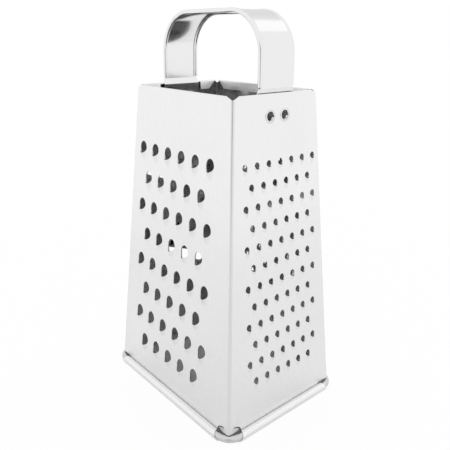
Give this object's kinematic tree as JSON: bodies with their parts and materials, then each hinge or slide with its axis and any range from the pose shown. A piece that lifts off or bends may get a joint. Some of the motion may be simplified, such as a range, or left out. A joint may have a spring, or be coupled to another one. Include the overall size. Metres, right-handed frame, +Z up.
{
  "type": "box grater",
  "caption": "Four-sided box grater of stainless sheet with a strap handle, shredding, fine, rasp and slicing faces on a wired rim.",
  "frame": {"origin": "on the ground under the middle of the body", "axes": "+Z up; +X along the handle's span, out of the fine face; -Y out of the coarse face"},
  "size_m": [0.1038, 0.0814, 0.2024],
  "materials": {
    "body_steel": "satin",
    "wire_steel": "satin",
    "handle_steel": "satin",
    "rivet_steel": "satin"
  },
  "bodies": {
    "root": {"grater_body": "body_steel", "rim_wire": "wire_steel", "handle": "handle_steel", "rivet_fine_front": "rivet_steel", "rivet_fine_back": "rivet_steel", "rivet_slicer_front": "rivet_steel", "rivet_slicer_back": "rivet_steel"}
  },
  "joints": []
}
